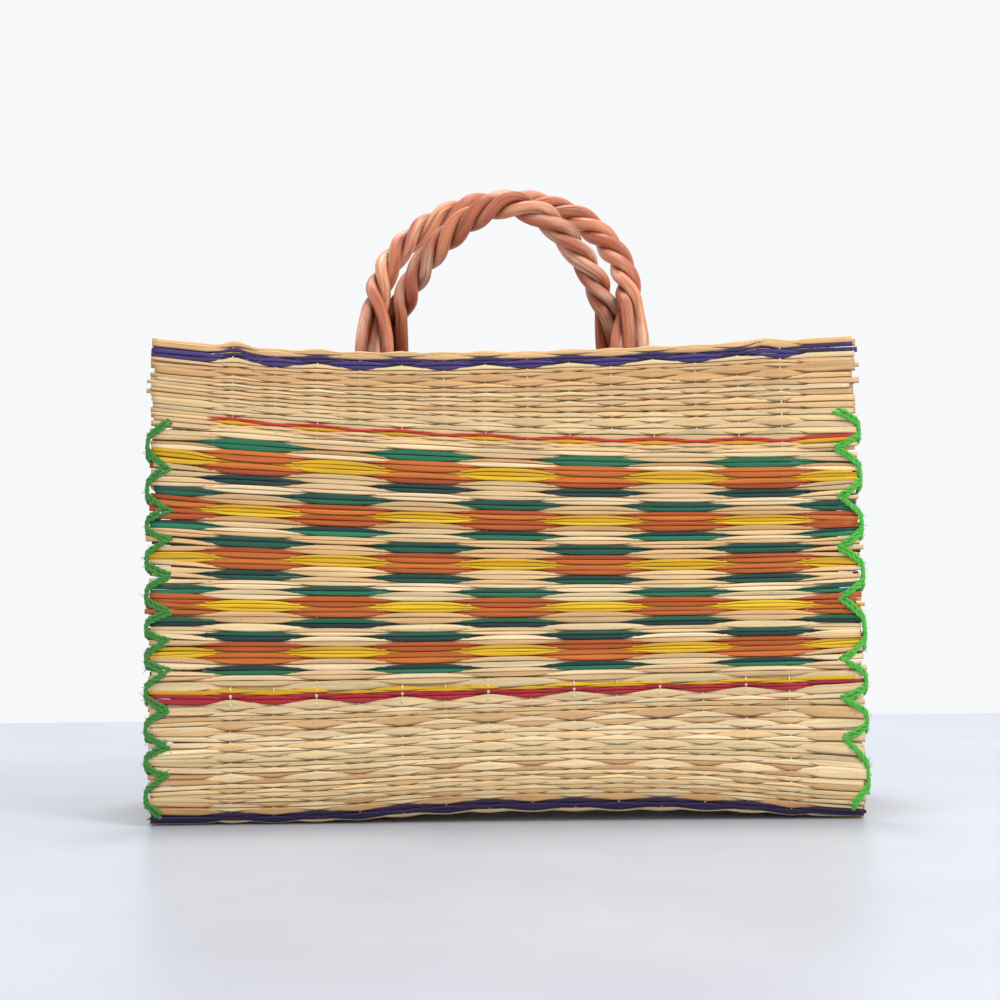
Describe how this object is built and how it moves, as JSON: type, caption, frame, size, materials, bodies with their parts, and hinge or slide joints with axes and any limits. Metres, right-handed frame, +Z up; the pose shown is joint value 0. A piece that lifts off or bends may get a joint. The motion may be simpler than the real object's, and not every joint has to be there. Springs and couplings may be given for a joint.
{
  "type": "straw basket bag",
  "caption": "Upright woven rush basket bag with tapering ends, an open mouth and a pair of twisted willow hoop handles.",
  "frame": {"origin": "middle of the base, on the surface that the bag stands on", "axes": "+X along the bag's width, -Y towards the front, +Z up"},
  "size_m": [0.3604, 0.12, 0.3287],
  "materials": {
    "rush": "dry woven rush, matt with a faint sheen",
    "end_rush": "dry woven rush, matt with a faint sheen",
    "willow": "smooth peeled willow, satin",
    "cord": "twisted cord, matt"
  },
  "bodies": {
    "root": {"body_mat": "rush", "end_panel_left": "end_rush", "end_panel_right": "end_rush", "handle_front_rod_1": "willow", "handle_front_rod_2": "willow", "handle_front_rod_3": "willow", "handle_back_rod_1": "willow", "handle_back_rod_2": "willow", "handle_back_rod_3": "willow", "handle_tie_front_left": "cord", "handle_tie_front_right": "cord", "handle_tie_back_left": "cord", "handle_tie_back_right": "cord"}
  },
  "joints": []
}
